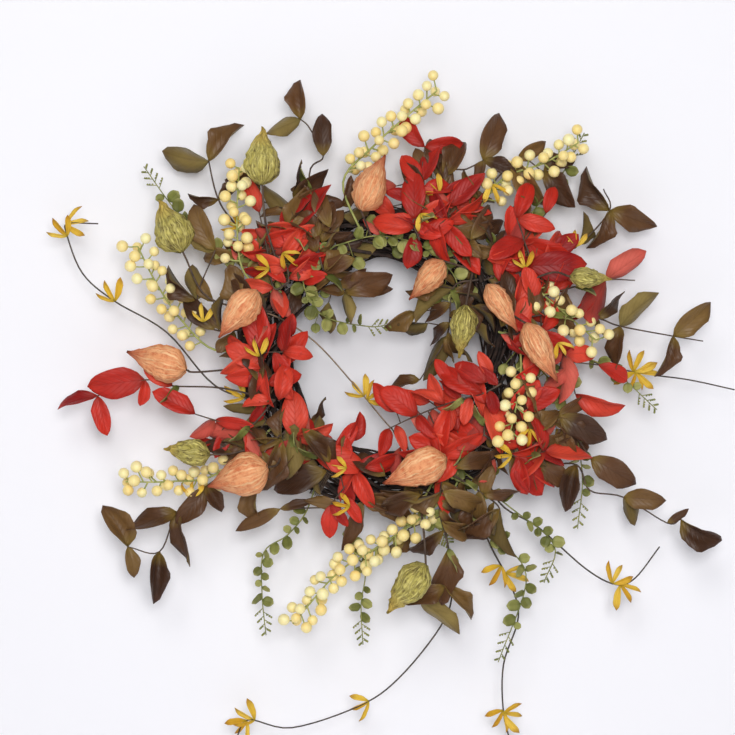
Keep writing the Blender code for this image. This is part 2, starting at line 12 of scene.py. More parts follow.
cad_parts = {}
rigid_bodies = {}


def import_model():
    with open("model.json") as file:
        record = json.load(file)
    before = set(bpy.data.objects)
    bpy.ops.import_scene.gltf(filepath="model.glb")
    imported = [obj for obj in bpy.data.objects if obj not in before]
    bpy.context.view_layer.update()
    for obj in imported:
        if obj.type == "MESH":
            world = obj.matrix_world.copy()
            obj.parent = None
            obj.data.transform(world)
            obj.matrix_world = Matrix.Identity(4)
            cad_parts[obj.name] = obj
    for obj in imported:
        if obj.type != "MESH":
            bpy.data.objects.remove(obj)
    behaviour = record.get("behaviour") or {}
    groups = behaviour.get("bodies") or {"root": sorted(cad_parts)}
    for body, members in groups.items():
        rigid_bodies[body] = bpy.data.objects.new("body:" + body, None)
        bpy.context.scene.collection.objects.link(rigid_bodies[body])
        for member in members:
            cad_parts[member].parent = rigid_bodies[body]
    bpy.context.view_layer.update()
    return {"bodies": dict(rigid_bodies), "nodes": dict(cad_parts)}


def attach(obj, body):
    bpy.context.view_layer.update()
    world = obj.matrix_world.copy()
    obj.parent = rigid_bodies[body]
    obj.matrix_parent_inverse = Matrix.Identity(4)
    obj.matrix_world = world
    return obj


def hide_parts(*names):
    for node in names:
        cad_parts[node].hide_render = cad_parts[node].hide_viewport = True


MM = 0.001

# The ring and its bundle of vine, as the part makes them.
RING_RADIUS = 0.124
BUNDLE_RADIUS = 0.031
RING_CENTRE = Vector((0, 0, BUNDLE_RADIUS - RING_RADIUS))
STRANDS = 4
TWIG_COUNT = 88
TWIG_STEPS = 60
TWIG_SIZES = (0.0022, 0.0050)
BINDING_ANGLES = (62, 242)
BINDING_TURNS = 5
BINDING_STEPS = 24
BINDING_WIDTH = 0.009
BINDING_REACH = BUNDLE_RADIUS + 0.0019
BINDING_WIRE_SIZE = 0.0016

# Diameters of the stems, and of the stalks that leave them.
LEAF_STEM_SIZE, LEAF_STALK_SIZE = 0.0022, 0.0014
BERRY_STEM_SIZE, BERRY_STALK_SIZE, BERRY_ROOT_SIZE = 0.0026, 0.0016, 0.0024
POD_STEM_SIZE = 0.0024
GREEN_STEM_SIZE, GREEN_STALK_SIZE = 0.0017, 0.0011
SHOOT_SIZE, BEAD_SIZE = 0.0009, 0.0024
VINE_SIZE, VINE_END_SIZE = 0.0019, 0.0016

LEAF_WIDTH_SHARE = {"red": 0.50, "brown": 0.47}
LEAF_FULLNESS = 0.62  # less than 1 rounds a leaf's outline out
LEAF_ROLL = 22
LEAF_WALL = 0.0005
TURNED_OVER = 0.16  # of the leaves, those that show their underside
BERRY_DIAMETER = 0.0125
BERRY_STALK = 0.0115
BERRY_SPACING = 0.0044
BERRY_STRETCH = 0.66  # of a stem's length, from its tip, that bears berries
BERRY_TURN = 137.5
BERRY_TRIES = 14
BETWEEN_SPACING = 0.0098  # of the small leaves that fill a branch between its drawn ones
SIDE_STALK = (0.008, 0.036)
TENDRIL_LENGTH = 0.026
BLOSSOM_LENGTH = 0.026
POD_WIDTH_SHARE = 0.62
GREEN_LEAF_LENGTH = 0.0125
GREEN_LEAF_SPACING = 0.0135

DOME_WIDTH = 0.085  # how far off the ring's centreline the foliage's dome falls to about a third
BAND_HALF_WIDTH = 0.058  # how far off the ring's centreline the foliage is dense
SWING = 8  # degrees that a mover turns each way
SWEEP_ROOM = 0.010
NEAR_MOVER = 0.008  # closer than this, a drawn leaf is made flatter and narrower
BERRY_ROOM = 0.010
LEAF_HALF_BREADTH = 0.27  # a leaf's half width, as a share of its length, where it is broadest
LEAF_SHAPE = (0.1, 0.8, 1.0, 0.8, 0.1)  # of that half width, from the base to the tip
FRUIT_ROOM = 0.008
TUCK = 0.006
COVER_RAISE = Vector((0, 0.010, 0))
STRAY_RAISE = Vector((0, 0.009, 0))
BACK, FRONT = Vector((0, 1, 0)), Vector((0, -1, 0))

# The layout, in millimetres from the ring's centre, X right and Z up.
# A foliage pick is its branches, and a branch is its stem's points from the ring outwards.
# A point is (x, z) and the leaves that grow there, each (heading in degrees, length).
RED_PICKS = {
    "red_pick_left": (
        ((-112, -42), (-165, -30), (-215, -28, (150, 34)), (-243, -22, (187, 58), (-100, 27)),
         (-291, -38, (195, 44), (-75, 41))),
        ((-112, -42), (-140, -70, (185, 44), (-62, 32)), (-172, -62, (-8, 40), (215, 30)),
         (-192, -56, (155, 48))),
    ),
    "red_pick_left_inner": (
        ((-118, -30), (-122, -10, (153, 44), (-80, 40)), (-126, 4, (205, 44), (98, 57)),
         (-104, 6, (-8, 31), (72, 40))),
    ),
    "red_pick_upper_left": (
        ((-98, 76), (-99, 88, (156, 36), (20, 42)), (-104, 104, (139, 38), (27, 29)),
         (-92, 130, (48, 56), (176, 30))),
        ((-98, 76), (-113, 70, (170, 32), (-62, 34)), (-120, 110), (-128, 146, (117, 38))),
    ),
    "red_pick_top": (
        ((32, 118), (27, 138, (90, 50), (-30, 34)), (58, 134, (35, 50), (-49, 42)),
         (62, 152, (42, 48), (150, 34))),
        ((32, 118), (34, 176, (60, 40)), (38, 212, (128, 40), (6, 40))),
    ),
    "red_pick_upper_right": (
        ((100, 70), (140, 92, (2, 60), (165, 32)), (137, 118, (-24, 55), (211, 42)),
         (130, 140, (69, 40), (-16, 40))),
    ),
    "red_pick_right_tip": (
        ((118, 44), (170, 66), (219, 78, (33, 50), (247, 48), (176, 40)), (249, 78)),
    ),
    "red_pick_right": (
        ((116, 22), (154, 26, (63, 38), (-40, 42), (186, 42)), (177, 4, (-93, 50), (4, 32)),
         (188, -36, (-15, 52))),
    ),
    "red_pick_right_low": (
        ((96, -76), (98, -46, (239, 54), (-73, 52), (112, 32))),
        ((96, -76), (128, -98, (-55, 46)), (157, -93, (112, 38), (227, 42), (-10, 48))),
        ((96, -76), (72, -92, (152, 34)), (52, -98, (79, 50), (28, 48), (172, 42))),
    ),
    "red_pick_inner_right": (
        ((112, -26), (95, -35, (150, 50)), (58, -46, (157, 36)), (30, -57, (144, 46), (-50, 30)),
         (2, -70, (250, 30))),
    ),
    "red_pick_bottom_left": (
        ((-56, -110), (-74, -92, (-20, 56), (175, 36)), (-91, -80, (93, 48), (20, 40))),
        ((-56, -110), (-32, -112, (12, 42), (-63, 42)), (-56, -146, (-92, 34), (-52, 28))),
    ),
}

BROWN_PICKS = {
    "brown_pick_top_left": (
        ((-100, 78), (-150, 132), (-170, 160, (172, 32), (30, 28)), (-180, 199, (172, 48), (49, 52)), (-181, 217)),
    ),
    "brown_pick_top": (
        ((-68, 104), (-78, 184), (-64, 203, (92, 44)), (-78, 232), (-87, 241, (92, 42), (203, 38))),
        ((-68, 104), (-98, 128, (66, 48), (168, 36)), (-94, 160, (78, 40), (40, 46))),
        ((-68, 104), (-62, 86, (40, 34)), (-42, 65, (21, 51), (172, 26), (-80, 32))),
    ),
    "brown_pick_left": (
        ((-120, 32), (-172, 28, (134, 46)), (-190, 58, (135, 46), (98, 36)), (-172, 108, (117, 52), (150, 38))),
    ),
    "brown_pick_top_right": (
        ((44, 115), (57, 182, (110, 42), (58, 44)), (80, 190), (97, 199, (71, 52), (-24, 38), (-100, 30))),
        ((44, 115), (92, 160, (118, 34)), (132, 200, (33, 34), (-65, 52)), (158, 188, (-49, 48), (27, 38))),
    ),
    "brown_pick_upper_right": (
        ((98, 78), (165, 104), (193, 114, (75, 33), (172, 28)), (225, 149, (121, 51), (-18, 51), (242, 44)),
         (219, 171)),
    ),
    "brown_pick_right": (
        ((118, 36), (165, 44, (60, 34), (-40, 34)), (210, 40, (43, 40), (-62, 24)), (234, 32, (42, 51), (-96, 46)),
         (288, 22, (42, 51), (-112, 44)), (318, 17)),
    ),
    "brown_pick_low_right": (
        ((108, -58), (150, -72, (40, 30)), (172, -58, (-26, 54), (-52, 46)), (204, -100, (-30, 54))),
    ),
    "brown_pick_far_low_right": (
        ((90, -86), (150, -106, (-31, 40)), (190, -107, (-106, 48)), (204, -133),
         (238, -140, (-4, 42), (-64, 30)), (282, -166, (34, 26)), (296, -162, (-34, 48))),
    ),
    "brown_pick_bottom_right": (
        ((56, -110), (95, -135, (4, 38), (72, 30)), (112, -150, (209, 52), (-75, 50)), (106, -166, (200, 38))),
        ((56, -110), (52, -150, (-40, 34)), (61, -190, (-96, 58)), (58, -228, (203, 46), (-50, 46)),
         (33, -243, (-39, 52))),
    ),
    "brown_pick_bottom_left": (
        ((-26, -124), (-46, -121), (-79, -101, (76, 44), (-70, 38)), (-105, -81, (-113, 60), (-35, 44), (83, 36)),
         (-128, -53, (84, 50), (172, 36))),
        ((-26, -124), (-24, -142, (-113, 56), (-8, 40)), (-44, -148, (172, 40)), (-107, -151, (207, 51), (12, 36))),
    ),
    "brown_pick_far_low_left": (
        ((-102, -74), (-180, -128, (231, 50), (-63, 30)), (-211, -155, (199, 54), (-76, 56)),
         (-229, -195, (-96, 52)), (-261, -190, (116, 48), (-77, 32))),
    ),
    "brown_pick_inner_right": (
        ((90, 78), (66, 70, (220, 50)), (60, 22, (243, 50), (-75, 28)), (33, -22, (195, 36))),
    ),
}

# A berry pick's branches are stems that the berries turn round.
BERRY_PICKS = {
    "berry_pick_left": (((-122, 12), (-172, 8), (-206, 38), (-232, 76), (-250, 112)),),
    "berry_pick_upper_left": (((-108, 62), (-142, 84), (-150, 130), (-148, 190)),),
    "berry_pick_top": (((-24, 122), (-44, 176), (-14, 212), (12, 236), (50, 268)),),
    "berry_pick_top_right": (((66, 106), (112, 176), (158, 196), (192, 216)),),
    "berry_pick_right_upper": (((112, 58), (136, 76), (168, 52), (208, 18)),),
    "berry_pick_right": (((112, 26), (130, 18), (132, -24), (120, -82)),),
    "berry_pick_bottom": (
        ((52, -114), (70, -124), (38, -156), (-22, -196)),
        ((52, -114), (12, -176), (-46, -212), (-94, -266)),
    ),
    "berry_pick_low_left": (((-108, -64), (-170, -116), (-220, -124), (-262, -124)),),
}

# A pod pick's branches are stems, each with its pod from the stem's end to the last point, and a length to match.
POD_PICKS = {
    "gold_pod_pick_top_left": (((-102, 72), (-120, 130), (-124, 172), (-124, 230)),),
    "gold_pod_pick_left": (((-116, 46), (-178, 60), (-204, 106), (-228, 158)),),
    "peach_pod_pick_top": (((-16, 122), (-26, 146), (-2, 202)),),
    "peach_pod_pick_left": (((-118, 38), (-128, 66), (-166, 20)),),
    "peach_pod_pick_far_left": (((-122, -8), (-188, -14), (-200, -12), (-260, 6)),),
    "pod_pick_low_left": (
        ((-100, -78), (-150, -94), (-176, -96), (-222, -90)),
        ((-100, -78), (-108, -104), (-118, -108), (-178, -128)),
    ),
    "peach_pod_pick_bottom": (((50, -112), (58, -98), (-4, -124)),),
    "gold_pod_pick_bottom": (((30, -120), (36, -170), (38, -204), (0, -252)),),
    "pod_pick_inner_right": (
        ((86, 88), (78, 52), (72, 0)),
        ((86, 88), (56, 96), (22, 58)),
    ),
    "peach_pod_pick_right": (
        ((110, 52), (98, 72), (128, 26)),
        ((110, 52), (136, 34), (168, -24)),
    ),
    "green_pod_pick_right": (((112, 62), (160, 84), (180, 80), (222, 78)),),
}
POD_WIDTH_CHANGES = {"peach_pod_pick_right": 0.86, "green_pod_pick_right": 0.90}

# Further leaves where the ring would show, each (x, z, heading, length) on a stem of its own out of the ring.
COVER_LEAVES = {
    "brown": (
        (-42, -119, 190, 42), (-17, -135, 250, 40), (13, -127, 330, 42), (33, -135, 200, 44),
        (68, -109, 20, 44), (93, -105, 320, 44), (-2, -117, 150, 40), (-57, -104, 120, 40), (55, -132, 340, 44),
        (113, 31, 80, 40), (106, 4, 120, 42), (118, -30, 300, 42), (-32, 99, 200, 36), (83, 118, 60, 42),
        (-57, 130, 110, 42), (-30, 138, 80, 40), (-92, -66, 262, 56), (-84, -70, 305, 58), (-126, -24, 100, 46),
        (-60, -112, 200, 58), (-112, -60, 150, 46), (-122, -34, 160, 42), (-128, 8, 190, 40),
        (-84, -100, 240, 44),
    ),
    "red": (
        (-22, -109, 20, 36), (50, -120, 285, 38), (103, -84, 60, 38), (98, -24, 150, 36), (123, 12, 30, 38),
        (-107, -42, 80, 38), (-119, 31, 240, 38),
    ),
}

# Greenery: wiry stems with small round leaves and beaded tips.
GREEN_PICKS = {
    "green_pick_inner_top": (
        ((-52, 112), (-10, 122), (34, 112), (66, 84), (74, 52)),
        ((-52, 112), (-84, 84), (-66, 44), (-20, 32), (4, 34)),
    ),
    "green_pick_top_left": (((-106, 66), (-168, 108), (-212, 148), (-246, 194)),),
    "green_pick_upper_right": (((104, 72), (142, 140), (176, 184), (200, 228)),),
    "green_pick_right": (
        ((122, 20), (180, 6), (226, -12), (272, -52)),
        ((122, 20), (176, -40), (196, -112), (192, -172)),
    ),
    "green_pick_bottom_right": (
        ((66, -106), (92, -160), (122, -190), (140, -226), (112, -306)),
        ((66, -106), (124, -150), (168, -188), (158, -226)),
        ((66, -106), (42, -148), (62, -186)),
    ),
}
HANGING_GREEN_PICKS = {
    "green_sprig_hanging_left": (((-66, -108), (-80, -152), (-100, -178), (-124, -196), (-126, -238), (-122, -280)),),
    "green_sprig_hanging_bottom": (((-34, -120), (-36, -186), (-22, -214), (-26, -250), (-24, -290)),),
}

# Blossom vines, which are bent to shape: a wire and its blossoms, each (how far along the wire, heading in degrees).
BLOSSOM_VINES = {
    "vine_left": (
        ((-118, -46), (-172, -28), (-222, 26), (-276, 58), (-308, 86), (-324, 126), (-322, 136), (-292, 136)),
        ((0.08, 150), (0.60, 118), (0.86, 130), (0.90, 10)),
    ),
    "vine_bottom_left": (
        ((44, -118), (60, -180), (66, -236), (54, -272), (12, -324), (-28, -352), (-96, -374), (-140, -366),
         (-152, -384)),
        ((0.64, 205), (0.93, 150), (0.95, 228)),
    ),
    "vine_bottom": (
        ((68, -106), (104, -188), (124, -226), (133, -262), (118, -310), (118, -358), (126, -392)),
        ((0.38, 240), (0.41, -20), (0.88, 238), (0.89, -10)),
    ),
    "vine_low_right": (
        ((88, -88), (112, -144), (152, -170), (200, -212), (230, -228), (250, -222), (275, -190)),
        ((0.76, 60), (0.79, -58)),
    ),
    "vine_right": (
        ((124, 8), (168, 12), (214, -6), (262, -16), (306, -22), (352, -32)),
        ((0.56, 62), (0.58, -6), (0.57, -110)),
    ),
}
INNER_VINES = {
    "vine_inner": (
        ((-116, 16), (-138, 44), (-112, 42), (-72, 16), (-32, -28), (0, -66), (20, -86)),
        ((0.05, 190), (0.74, 128), (0.76, 32)),
    ),
}


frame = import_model()


# Placing


def laid_out(x, z):
    return RING_CENTRE + Vector((x, 0, z)) * MM


def on_dome(place):
    off_ring = (place - RING_CENTRE).length - RING_RADIUS
    rise = BUNDLE_RADIUS * math.exp(-((off_ring / DOME_WIDTH) ** 2))
    return Vector((place.x, -rise, place.z))


def towards(heading):
    return Vector((math.cos(math.radians(heading)), 0, math.sin(math.radians(heading))))


def heading_of(ahead):
    return math.degrees(math.atan2(ahead.z, ahead.x))


def smooth_line(points, per_span=6):
    """Points along a smooth curve through the given ones."""
    ends = [points[0] * 2 - points[1], *points, points[-1] * 2 - points[-2]]
    line = []
    for before, start, end, after in zip(ends, ends[1:], ends[2:], ends[3:]):
        for step in range(per_span):
            t = step / per_span
            line.append(
                0.5 * (2 * start + (end - before) * t + (2 * before - 5 * start + 4 * end - after) * t**2
                       + (3 * start - before - 3 * end + after) * t**3)
            )
    return [*line, points[-1].copy()]


def along(line, share):
    spans = [(b - a).length for a, b in zip(line, line[1:])]
    left = share * sum(spans)
    for start, end, span in zip(line, line[1:], spans):
        if left <= span:
            break
        left -= span
    return start.lerp(end, min(left / span, 1)), (end - start).normalized()


def length_of(line):
    return sum((b - a).length for a, b in zip(line, line[1:]))


def lift_of(name, plan):
    """How far in front of the dome the part's pick lies, read at its first branch's tip."""
    points = plan[0]
    tip = on_dome(laid_out(*points[-1][:2]))
    near = min(frame["nodes"][name].data.vertices, key=lambda v: (v.co.x - tip.x) ** 2 + (v.co.z - tip.z) ** 2)
    return Vector((0, near.co.y - tip.y, 0))


# Modelling by hand


def deselect():
    bpy.ops.object.select_all(action="DESELECT")


def choose(obj):
    """Selects this object alone, as the active one."""
    deselect()
    obj.select_set(True)
    bpy.context.view_layer.objects.active = obj


def start_with(name, primitive, **settings):
    """A primitive at its size and place, with its place in its mesh."""
    deselect()
    primitive(**settings)
    obj = bpy.context.object
    obj.name = name
    bpy.ops.object.transform_apply()
    return obj


def edit(obj):
    choose(obj)
    bpy.ops.object.mode_set(mode="EDIT")
    bpy.ops.mesh.select_mode(type="VERT")


def done():
    bpy.ops.object.mode_set(mode="OBJECT")


def pick_points(obj, test):
    bpy.ops.mesh.select_all(action="DESELECT")
    bm = bmesh.from_edit_mesh(obj.data)
    for vert in bm.verts:
        vert.select = test(vert.co)
    bm.select_flush_mode()
    bmesh.update_edit_mesh(obj.data)


def level(axis, value):
    """A test for the points at this value on an axis."""
    return lambda co: abs(co[axis] - value) < 0.001


def finish_with(obj, kind, **settings):
    modifier = obj.modifiers.new(kind.title(), kind)
    for key, value in settings.items():
        setattr(modifier, key, value)
    choose(obj)
    bpy.ops.object.modifier_apply(modifier=modifier.name)


def smooth(obj):
    for face in obj.data.polygons:
        face.use_smooth = True


def make_leaf(name, outline, fold, curl, ripple, twist, seed, across=4, rows=10):
    """A leaf one unit long and wide, base at the origin: rows widened to the outline, folded on the midrib, curled
    along its length and twisted by so many degrees from base to tip."""
    leaf = start_with(name, bpy.ops.mesh.primitive_grid_add, x_subdivisions=across, y_subdivisions=rows, size=1,
                      location=(0, 0.5, 0))
    dice = random.Random(seed)
    edit(leaf)
    for column in range(across + 1):
        x = column / across - 0.5
        pick_points(leaf, level(0, x))
        bpy.ops.transform.translate(value=(0, 0, fold * abs(x) * 2))
    for row in range(rows + 1):
        y = row / rows
        in_row = level(1, y)
        pick_points(leaf, in_row)
        bpy.ops.transform.resize(value=(outline(y), 1, outline(y)), center_override=(0, y, 0))
        bpy.ops.transform.translate(value=(0, 0, curl(y)))
        for side in (-1, 1):
            pick_points(leaf, lambda co, side=side: in_row(co) and co.x * side > outline(y) * 0.42)
            wave = ripple * outline(y) * (math.sin(11 * y + 2 * side + seed) + dice.uniform(-0.7, 0.7))
            bpy.ops.transform.translate(value=(side * wave * 0.5, 0, wave))
        pick_points(leaf, in_row)
        bpy.ops.transform.rotate(value=math.radians(twist) * y, orient_axis="Y", center_override=(0, y, curl(y)))
    done()
    smooth(leaf)
    return leaf


def pointed(peak, stalk=0.05):
    """A pointed leaf's outline, widest at peak."""

    def outline(y):
        half = y / peak if y < peak else (1 - y) / (1 - peak)
        return max(math.sin(half * math.pi / 2) ** LEAF_FULLNESS, stalk if y < peak else 0.02)

    return outline


def rounded(y):
    return max(math.sqrt(max(1 - (2 * y - 1) ** 2, 0)), 0.08)


def make_pod(name, seed, crinkle):
    """A papery lantern one unit long, base at the origin: six ribs, a full base and a drawn-out tip."""
    profile = (0.12, 0.50, 0.76, 0.91, 0.98, 1.0, 0.99, 0.95, 0.89, 0.81, 0.71, 0.59, 0.46, 0.33, 0.21, 0.12, 0.05)
    pod = start_with(name, bpy.ops.mesh.primitive_cylinder_add, vertices=36, radius=0.5, depth=1,
                     end_fill_type="TRIFAN", location=(0, 0, 0.5))
    last = len(profile) - 1
    dice = random.Random(seed)
    edit(pod)
    for row in range(1, last):
        bpy.ops.mesh.select_all(action="SELECT")
        bpy.ops.mesh.bisect(plane_co=(0, 0, row / last), plane_no=(0, 0, 1))
    for row, width in enumerate(profile):
        z = row / last
        pick_points(pod, level(2, z))
        bpy.ops.transform.resize(value=(width, width * 0.78, 1), center_override=(0, 0, z))
        bpy.ops.transform.translate(value=(dice.uniform(-crinkle, crinkle), dice.uniform(-crinkle, crinkle), 0))
    for rib in range(6):
        for groove, least, most in ((0, 1.02, 1.16), (math.pi / 6, 0.88, 0.98)):
            turn = rib * math.pi / 3 + groove
            pick_points(pod, lambda co, turn=turn: 0.04 < co.z < 0.96
                        and abs(math.remainder(math.atan2(co.y, co.x) - turn, math.tau)) < 0.09)
            width = dice.uniform(least, most)
            bpy.ops.transform.resize(value=(width, width, 1), center_override=(0, 0, 0.5))
    bpy.ops.mesh.select_all(action="SELECT")
    bpy.ops.mesh.remove_doubles(threshold=0.0005)
    bpy.ops.transform.vertex_random(offset=crinkle, seed=seed)
    bpy.ops.mesh.normals_make_consistent(inside=False)
    done()
    smooth(pod)
    return pod


def make_berry():
    """A berry with a small blossom scar at its end, pointing along +Y."""
    berry = start_with("berry", bpy.ops.mesh.primitive_uv_sphere_add, segments=14, ring_count=9, radius=0.5)
    edit(berry)
    pick_points(berry, lambda co: co.z > 0.49)
    bpy.ops.transform.translate(value=(0, 0, -0.035))
    done()
    berry.data.transform(Matrix.Rotation(-math.pi / 2, 4, "X"))
    smooth(berry)
    return berry


def make_bead():
    bead = start_with("bead", bpy.ops.mesh.primitive_ico_sphere_add, subdivisions=1, radius=0.5)
    smooth(bead)
    return bead


def frame_at(place, ahead, facing, across_size, ahead_size, up_size):
    """The matrix that puts a unit shape at place, its +Y ahead and its +Z towards facing."""
    across = ahead.cross(facing).normalized()
    up = across.cross(ahead).normalized()
    turn = Matrix((across * across_size, ahead.normalized() * ahead_size, up * up_size)).transposed().to_4x4()
    return Matrix.Translation(place) @ turn


def copy_of(master, matrix, material, tint):
    mesh = master.data.copy()
    mesh.transform(matrix)
    values = mesh.attributes.new("tint", "FLOAT", "POINT")
    values.data.foreach_set("value", [tint] * len(mesh.vertices))
    mesh.materials.clear()
    mesh.materials.append(material)
    obj = bpy.data.objects.new(master.name + "_copy", mesh)
    bpy.context.collection.objects.link(obj)
    return obj


def stem_along(line, diameter, end_share, material, sides=2):
    """A round stem along a line, thinning to end_share of its diameter."""
    curve = bpy.data.curves.new("stem", "CURVE")
    curve.dimensions = "3D"
    curve.bevel_depth = diameter / 2
    curve.bevel_resolution = sides - 1
    curve.use_fill_caps = True
    spline = curve.splines.new("POLY")
    spline.points.add(len(line) - 1)
    for i, (point, co) in enumerate(zip(spline.points, line)):
        point.co = (*co, 1)
        point.radius = 1 + (end_share - 1) * i / (len(line) - 1)
    obj = bpy.data.objects.new("stem", curve)
    bpy.context.collection.objects.link(obj)
    choose(obj)
    bpy.ops.object.convert(target="MESH")
    obj = bpy.context.object
    obj.data.materials.clear()
    obj.data.materials.append(material)
    smooth(obj)
    return obj


def joined(name, objects):
    deselect()
    for obj in objects:
        obj.select_set(True)
    bpy.context.view_layer.objects.active = objects[0]
    if len(objects) > 1:
        bpy.ops.object.join()
    obj = bpy.context.object
    obj.name = obj.data.name = name
    return obj


def walled(name, leaves, under):
    """Leaves as one piece with a thin wall, whose underside has a finish of its own."""
    obj = joined(name, leaves)
    obj.data.materials.append(under)
    finish_with(obj, "SOLIDIFY", thickness=LEAF_WALL, offset=0, material_offset=1)
    return obj


def facing_of(heading, roll):
    side = towards(heading + 90)
    return FRONT * math.cos(math.radians(roll)) + side * math.sin(math.radians(roll))


# Materials


def rgb(r, g, b):
    """A colour given as a screen shows it, from 0 to 255."""
    return tuple((v / 255 / 12.92 if v < 10.3 else ((v / 255 + 0.055) / 1.055) ** 2.4) for v in (r, g, b)) + (1,)


def set_sockets(node, values):
    for socket, value in values.items():
        node.inputs[socket].default_value = value


class Nodes:
    """Places and links nodes in one tree."""

    def __init__(self, tree):
        self.tree = tree

    def add(self, kind, values=None, **settings):
        """A node with these settings, and these values on its sockets."""
        node = self.tree.nodes.new("ShaderNode" + kind)
        for key, value in settings.items():
            setattr(node, key, value)
        set_sockets(node, values or {})
        return node

    def join(self, start, end):
        self.tree.links.new(start, end)

    def math(self, operation, first, second=None, clamp=False):
        node = self.add("Math", operation=operation, use_clamp=clamp)
        self.feed(node.inputs[0], first)
        self.feed(node.inputs[1], second)
        return node.outputs[0]

    def times(self, first, second, clamp=False):
        return self.math("MULTIPLY", first, second, clamp)

    def plus(self, first, second):
        return self.math("ADD", first, second)

    def less(self, first, second, clamp=False):
        return self.math("SUBTRACT", first, second, clamp)

    def feed(self, socket, value):
        if value is None:
            return
        if isinstance(value, (int, float, tuple)):
            socket.default_value = value
        else:
            self.join(value, socket)

    def mix(self, share, first, second, blend="MIX"):
        node = self.add("Mix", data_type="RGBA", blend_type=blend)
        self.feed(node.inputs["Factor"], share)
        self.feed(node.inputs[6], first)
        self.feed(node.inputs[7], second)
        return node.outputs[2]

    def noise(self, scale, detail=3.0, roughness=0.55):
        node = self.add("TexNoise", {"Scale": scale, "Detail": detail, "Roughness": roughness})
        self.join(self.add("TexCoord").outputs["Object"], node.inputs["Vector"])
        return node.outputs["Fac"]

    def tint(self):
        return self.add("Attribute", attribute_name="tint").outputs["Fac"]

    def spread(self, value, low, high):
        """The value's range from low to high made 0 to 1."""
        node = self.add("MapRange", {"From Min": low, "From Max": high})
        self.join(value, node.inputs["Value"])
        return node.outputs[0]

    def on_line(self, off, width):
        """1 on a line, falling to 0 this far off it."""
        return self.less(1.0, self.math("DIVIDE", off, width), clamp=True)


def new_group(name, inputs, outputs):
    """An empty group: its nodes, the sockets at its two ends, and the UV map's values across and along."""
    tree = bpy.data.node_groups.new(name, "ShaderNodeTree")
    for label, value in inputs.items():
        tree.interface.new_socket(label, in_out="INPUT", socket_type="NodeSocketFloat").default_value = value
    for label in outputs:
        tree.interface.new_socket(label, in_out="OUTPUT", socket_type="NodeSocketFloat")
    nodes = Nodes(tree)
    split = nodes.add("SeparateXYZ")
    nodes.join(nodes.add("UVMap").outputs[0], split.inputs[0])
    enter, leave = tree.nodes.new("NodeGroupInput"), tree.nodes.new("NodeGroupOutput")
    return nodes, enter.outputs, leave.inputs, split.outputs[0], split.outputs[1]


def vein_group():
    """Masks of a leaf's midrib and side veins from its UV map."""
    nodes, enter, leave, across, up = new_group("Leaf veins", {"Vein pairs": 7}, ("Midrib", "Side veins", "Along"))
    off = nodes.math("ABSOLUTE", nodes.less(across, 0.5))
    slant = nodes.less(up, nodes.times(off, 0.8))
    saw = nodes.math("FRACT", nodes.times(slant, enter[0]))
    nodes.join(nodes.on_line(off, 0.05), leave[0])
    nodes.join(nodes.on_line(nodes.math("ABSOLUTE", nodes.less(saw, 0.5)), 0.14), leave[1])
    nodes.join(up, leave[2])
    return nodes.tree


def new_material(name, roughness):
    material = bpy.data.materials.new(name)
    material.use_nodes = True
    shader = material.node_tree.nodes["Principled BSDF"]
    set_sockets(shader, {"Roughness": roughness})
    return material, Nodes(material.node_tree), shader


def add_bump(nodes, shader, height, distance, strength=0.6):
    bump = nodes.add("Bump", {"Distance": distance, "Strength": strength})
    nodes.join(height, bump.inputs["Height"])
    nodes.join(bump.outputs[0], shader.inputs["Normal"])


def leaf_material(name, roughness, sheen, *shades):
    """Cloth leaf, from its dark, middle and light tints and its colours at the base and the tip: each leaf has a tint
    of its own and is mottled, with darker veins."""
    dark, mid, light, base, tip_colour = (rgb(*shade) for shade in shades)
    material, nodes, shader = new_material(name, roughness)
    tint = nodes.tint()
    rib = nodes.add("Group", node_tree=VEINS)
    first = nodes.mix(nodes.times(tint, 2.0, clamp=True), dark, mid)
    body = nodes.mix(nodes.less(nodes.times(tint, 2.0), 1.0, clamp=True), first, light)
    mottle = nodes.spread(nodes.noise(70, 4), 0.38, 0.66)
    blotch = nodes.mix(1.0, body, (0.62, 0.55, 0.5, 1), "MULTIPLY")
    body = nodes.mix(nodes.times(mottle, 0.45), body, blotch)
    body = nodes.mix(nodes.spread(rib.outputs["Along"], 0.30, 0.0), body, base)
    body = nodes.mix(nodes.times(nodes.spread(rib.outputs["Along"], 0.72, 1.05), 0.7), body, tip_colour)
    lines = nodes.plus(nodes.times(rib.outputs["Side veins"], 0.16),
                       nodes.times(rib.outputs["Midrib"], 0.34))
    body = nodes.mix(lines, body, nodes.mix(1.0, body, (0.55, 0.50, 0.45, 1), "MULTIPLY"))
    nodes.join(body, shader.inputs["Base Color"])
    weave = nodes.times(nodes.noise(1400, 2), 0.25)
    ribs = nodes.plus(rib.outputs["Midrib"], rib.outputs["Side veins"])
    add_bump(nodes, shader, nodes.plus(weave, nodes.times(ribs, -0.6)), 0.0006)
    set_sockets(shader, {"Sheen Weight": sheen, "Specular IOR Level": 0.3})
    return material


def berry_material():
    material, nodes, shader = new_material("cream_berry", 0.42)
    tint = nodes.tint()
    body = nodes.mix(tint, rgb(252, 224, 142), rgb(255, 244, 184))
    blush = nodes.spread(nodes.noise(60, 2), 0.50, 0.72)
    body = nodes.mix(nodes.times(blush, 0.35), body, rgb(244, 196, 110))
    nodes.join(body, shader.inputs["Base Color"])
    add_bump(nodes, shader, nodes.noise(900, 3), 0.0002, 0.35)
    set_sockets(shader, {"Subsurface Weight": 0.12, "Subsurface Radius": (0.004, 0.003, 0.001)})
    return material


